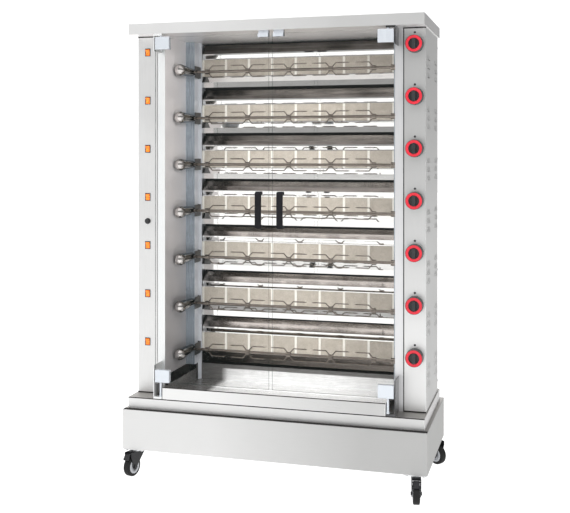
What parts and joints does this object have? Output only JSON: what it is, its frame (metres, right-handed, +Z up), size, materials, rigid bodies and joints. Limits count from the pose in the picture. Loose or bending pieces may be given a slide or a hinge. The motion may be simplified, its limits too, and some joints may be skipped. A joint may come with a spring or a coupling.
{
  "type": "gas rotisserie oven",
  "caption": "Free-standing gas rotisserie: stainless cabinet on castors with hinged glass doors, turning fork spits before ceramic burners, gas knobs, lit rocker switches and a drip tray.",
  "frame": {"origin": "on the floor, under the middle of the overall box", "axes": "+X to the operator's right, +Y away from the operator, +Z up"},
  "size_m": [1.2656, 0.5804, 1.835],
  "materials": {
    "stainless": "satin stainless sheet, light vertical or lengthwise grain",
    "chamber_steel": "brushed stainless sheet, slightly warm",
    "tray_steel": "bright stainless sheet",
    "polished_steel": "mirror polished stainless sheet",
    "burner_pan": "heat-tinted stainless pan",
    "burner_ceramic": "matt beige ceramic with a fine hole pattern",
    "spit_steel": "polished stainless rod and forks",
    "chrome": "bright chrome",
    "dark_steel": "dark heat-resistant coating",
    "motor_paint": "grey paint on gear motors",
    "brass": "plain brass",
    "pipe_steel": "bare pipe",
    "black_plastic": "fine-grained black moulding",
    "knob_plastic": "black moulding with a red ring let in",
    "rocker_plastic": "translucent orange, lit",
    "button_plastic": "black push button",
    "handle_plastic": "black moulded handle",
    "magnet_plastic": "dark magnet case",
    "door_glass": "clear toughened glass with greenish edges",
    "zinc": "zinc-plated steel",
    "castor_paint": "dark painted pressing",
    "wheel_rubber": "black rubber tyre on a grey hub",
    "pedal_paint": "dark painted lever"
  },
  "bodies": {
    "cabinet": {"base_box": "stainless", "lower_cover": "stainless", "top_cover": "stainless", "left_column": "stainless", "right_column": "stainless", "left_chamber_wall": "chamber_steel", "right_chamber_wall": "chamber_steel", "back_panel": "chamber_steel", "burner_housings": "burner_pan", "ceramic_plates": "burner_ceramic", "burner_reflectors": "polished_steel", "spit_brackets": "dark_steel", "spit_grips": "chrome", "spit_motors": "motor_paint", "gas_valves": "brass", "gas_manifold": "pipe_steel", "switch_frames": "black_plastic", "hinge_brackets": "stainless", "door_magnets": "magnet_plastic", "castor_plates": "zinc", "fasteners": "zinc"},
    "door_left": {"door_glass_left": "door_glass", "door_handle_left": "handle_plastic", "door_fittings_left": "chrome"},
    "door_right": {"door_glass_right": "door_glass", "door_handle_right": "handle_plastic", "door_fittings_right": "chrome"},
    "drip_tray": {"drip_tray": "tray_steel"},
    "spit_1": {"spit_1": "spit_steel"},
    "knob_1": {"knob_1": "knob_plastic"},
    "rocker_1": {"rocker_1": "rocker_plastic"},
    "spit_2": {"spit_2": "spit_steel"},
    "knob_2": {"knob_2": "knob_plastic"},
    "rocker_2": {"rocker_2": "rocker_plastic"},
    "spit_3": {"spit_3": "spit_steel"},
    "knob_3": {"knob_3": "knob_plastic"},
    "rocker_3": {"rocker_3": "rocker_plastic"},
    "spit_4": {"spit_4": "spit_steel"},
    "knob_4": {"knob_4": "knob_plastic"},
    "rocker_4": {"rocker_4": "rocker_plastic"},
    "spit_5": {"spit_5": "spit_steel"},
    "knob_5": {"knob_5": "knob_plastic"},
    "rocker_5": {"rocker_5": "rocker_plastic"},
    "spit_6": {"spit_6": "spit_steel"},
    "knob_6": {"knob_6": "knob_plastic"},
    "rocker_6": {"rocker_6": "rocker_plastic"},
    "spit_7": {"spit_7": "spit_steel"},
    "knob_7": {"knob_7": "knob_plastic"},
    "rocker_7": {"rocker_7": "rocker_plastic"},
    "igniter_button": {"igniter_button": "button_plastic"},
    "castor_fork_front_left": {"castor_fork_front_left": "castor_paint"},
    "castor_wheel_front_left": {"castor_wheel_front_left": "wheel_rubber"},
    "brake_pedal_front_left": {"brake_pedal_front_left": "pedal_paint"},
    "castor_fork_front_right": {"castor_fork_front_right": "castor_paint"},
    "castor_wheel_front_right": {"castor_wheel_front_right": "wheel_rubber"},
    "brake_pedal_front_right": {"brake_pedal_front_right": "pedal_paint"},
    "castor_fork_rear_left": {"castor_fork_rear_left": "castor_paint"},
    "castor_wheel_rear_left": {"castor_wheel_rear_left": "wheel_rubber"},
    "castor_fork_rear_right": {"castor_fork_rear_right": "castor_paint"},
    "castor_wheel_rear_right": {"castor_wheel_rear_right": "wheel_rubber"}
  },
  "joints": [
    {"name": "door_left_hinge", "type": "hinge", "parent": "cabinet", "child": "door_left", "pos_m": [-0.464, -0.2198, 0.313], "axis": [0, 0, -1], "range_deg": [0, 110]},
    {"name": "door_right_hinge", "type": "hinge", "parent": "cabinet", "child": "door_right", "pos_m": [0.464, -0.2198, 0.313], "axis": [0, 0, 1], "range_deg": [0, 110]},
    {"name": "drip_tray_slide", "type": "slide", "parent": "cabinet", "child": "drip_tray", "axis": [0, -1, 0], "range_m": [0, 0.34]},
    {"name": "spit_1_turn", "type": "hinge", "parent": "cabinet", "child": "spit_1", "pos_m": [0, 0.0722, 1.658], "axis": [1, 0, 0], "continuous": true},
    {"name": "knob_1_turn", "type": "hinge", "parent": "cabinet", "child": "knob_1", "pos_m": [0.555, -0.1438, 1.725], "axis": [0, -1, 0], "range_deg": [0, 210]},
    {"name": "rocker_1_tilt", "type": "hinge", "parent": "cabinet", "child": "rocker_1", "pos_m": [-0.555, -0.1418, 1.725], "axis": [-1, 0, 0], "range_deg": [0, 16]},
    {"name": "spit_2_turn", "type": "hinge", "parent": "cabinet", "child": "spit_2", "pos_m": [0, 0.0722, 1.458], "axis": [1, 0, 0], "continuous": true},
    {"name": "knob_2_turn", "type": "hinge", "parent": "cabinet", "child": "knob_2", "pos_m": [0.555, -0.1438, 1.525], "axis": [0, -1, 0], "range_deg": [0, 210]},
    {"name": "rocker_2_tilt", "type": "hinge", "parent": "cabinet", "child": "rocker_2", "pos_m": [-0.555, -0.1418, 1.525], "axis": [-1, 0, 0], "range_deg": [0, 16]},
    {"name": "spit_3_turn", "type": "hinge", "parent": "cabinet", "child": "spit_3", "pos_m": [0, 0.0722, 1.258], "axis": [1, 0, 0], "continuous": true},
    {"name": "knob_3_turn", "type": "hinge", "parent": "cabinet", "child": "knob_3", "pos_m": [0.555, -0.1438, 1.325], "axis": [0, -1, 0], "range_deg": [0, 210]},
    {"name": "rocker_3_tilt", "type": "hinge", "parent": "cabinet", "child": "rocker_3", "pos_m": [-0.555, -0.1418, 1.325], "axis": [-1, 0, 0], "range_deg": [0, 16]},
    {"name": "spit_4_turn", "type": "hinge", "parent": "cabinet", "child": "spit_4", "pos_m": [0, 0.0722, 1.058], "axis": [1, 0, 0], "continuous": true},
    {"name": "knob_4_turn", "type": "hinge", "parent": "cabinet", "child": "knob_4", "pos_m": [0.555, -0.1438, 1.125], "axis": [0, -1, 0], "range_deg": [0, 210]},
    {"name": "rocker_4_tilt", "type": "hinge", "parent": "cabinet", "child": "rocker_4", "pos_m": [-0.555, -0.1418, 1.125], "axis": [-1, 0, 0], "range_deg": [0, 16]},
    {"name": "spit_5_turn", "type": "hinge", "parent": "cabinet", "child": "spit_5", "pos_m": [0, 0.0722, 0.858], "axis": [1, 0, 0], "continuous": true},
    {"name": "knob_5_turn", "type": "hinge", "parent": "cabinet", "child": "knob_5", "pos_m": [0.555, -0.1438, 0.925], "axis": [0, -1, 0], "range_deg": [0, 210]},
    {"name": "rocker_5_tilt", "type": "hinge", "parent": "cabinet", "child": "rocker_5", "pos_m": [-0.555, -0.1418, 0.925], "axis": [-1, 0, 0], "range_deg": [0, 16]},
    {"name": "spit_6_turn", "type": "hinge", "parent": "cabinet", "child": "spit_6", "pos_m": [0, 0.0722, 0.658], "axis": [1, 0, 0], "continuous": true},
    {"name": "knob_6_turn", "type": "hinge", "parent": "cabinet", "child": "knob_6", "pos_m": [0.555, -0.1438, 0.725], "axis": [0, -1, 0], "range_deg": [0, 210]},
    {"name": "rocker_6_tilt", "type": "hinge", "parent": "cabinet", "child": "rocker_6", "pos_m": [-0.555, -0.1418, 0.725], "axis": [-1, 0, 0], "range_deg": [0, 16]},
    {"name": "spit_7_turn", "type": "hinge", "parent": "cabinet", "child": "spit_7", "pos_m": [0, 0.0722, 0.458], "axis": [1, 0, 0], "continuous": true},
    {"name": "knob_7_turn", "type": "hinge", "parent": "cabinet", "child": "knob_7", "pos_m": [0.555, -0.1438, 0.525], "axis": [0, -1, 0], "range_deg": [0, 210]},
    {"name": "rocker_7_tilt", "type": "hinge", "parent": "cabinet", "child": "rocker_7", "pos_m": [-0.555, -0.1418, 0.525], "axis": [-1, 0, 0], "range_deg": [0, 16]},
    {"name": "igniter_press", "type": "slide", "parent": "cabinet", "child": "igniter_button", "axis": [0, 1, 0], "range_m": [0, 0.005], "stiffness_N_per_m": 400},
    {"name": "castor_front_left_swivel", "type": "hinge", "parent": "cabinet", "child": "castor_fork_front_left", "pos_m": [-0.57, -0.2198, 0.098], "axis": [0, 0, 1], "continuous": true},
    {"name": "castor_front_left_roll", "type": "hinge", "parent": "castor_fork_front_left", "child": "castor_wheel_front_left", "pos_m": [-0.57776, -0.24878, 0.04], "axis": [0.9659, -0.2588, 0], "continuous": true},
    {"name": "brake_front_left_press", "type": "hinge", "parent": "castor_fork_front_left", "child": "brake_pedal_front_left", "pos_m": [-0.58191, -0.26423, 0.087], "axis": [0.9659, -0.2588, 0], "range_deg": [0, 12]},
    {"name": "castor_front_right_swivel", "type": "hinge", "parent": "cabinet", "child": "castor_fork_front_right", "pos_m": [0.57, -0.2198, 0.098], "axis": [0, 0, 1], "continuous": true},
    {"name": "castor_front_right_roll", "type": "hinge", "parent": "castor_fork_front_right", "child": "castor_wheel_front_right", "pos_m": [0.57521, -0.24934, 0.04], "axis": [0.9848, 0.1736, 0], "continuous": true},
    {"name": "brake_front_right_press", "type": "hinge", "parent": "castor_fork_front_right", "child": "brake_pedal_front_right", "pos_m": [0.57799, -0.2651, 0.087], "axis": [0.9848, 0.1736, 0], "range_deg": [0, 12]},
    {"name": "castor_rear_left_swivel", "type": "hinge", "parent": "cabinet", "child": "castor_fork_rear_left", "pos_m": [-0.57, 0.2552, 0.098], "axis": [0, 0, 1], "continuous": true},
    {"name": "castor_rear_left_roll", "type": "hinge", "parent": "castor_fork_rear_left", "child": "castor_wheel_rear_left", "pos_m": [-0.59457, 0.23799, 0.04], "axis": [0.5736, -0.8192, 0], "continuous": true},
    {"name": "castor_rear_right_swivel", "type": "hinge", "parent": "cabinet", "child": "castor_fork_rear_right", "pos_m": [0.57, 0.2552, 0.098], "axis": [0, 0, 1], "continuous": true},
    {"name": "castor_rear_right_roll", "type": "hinge", "parent": "castor_fork_rear_right", "child": "castor_wheel_rear_right", "pos_m": [0.59457, 0.23799, 0.04], "axis": [0.5736, 0.8192, 0], "continuous": true}
  ]
}
